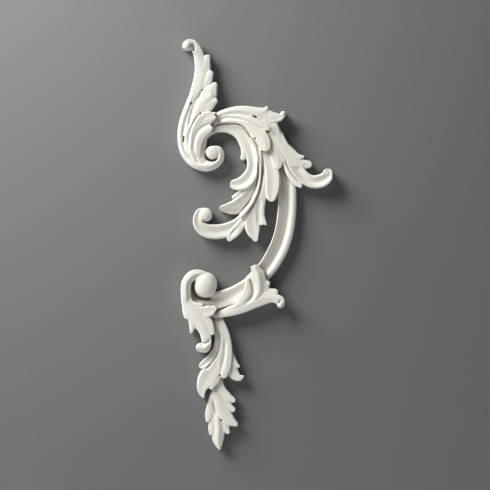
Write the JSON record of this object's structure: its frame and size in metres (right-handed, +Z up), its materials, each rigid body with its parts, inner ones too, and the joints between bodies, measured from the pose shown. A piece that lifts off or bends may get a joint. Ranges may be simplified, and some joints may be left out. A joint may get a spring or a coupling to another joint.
{
  "type": "relief ornament",
  "caption": "Tall acanthus scroll in relief: plume, volute, arching leaves, swirl, curved band and a hanging leaf drop, with a flat back for fixing to a wall.",
  "frame": {"origin": "on the flat back, behind the stem of the great swirl leaf", "axes": "+Z up along the ornament's length, +X to the viewer's right, +Y into the wall; the carved face looks along -Y"},
  "size_m": [0.3109, 0.0325, 0.8207],
  "materials": {
    "ivory_cast": "satin off-white cast surface, slightly warmer in the recesses"
  },
  "bodies": {
    "root": {"acanthus_scroll": "ivory_cast"}
  },
  "joints": []
}
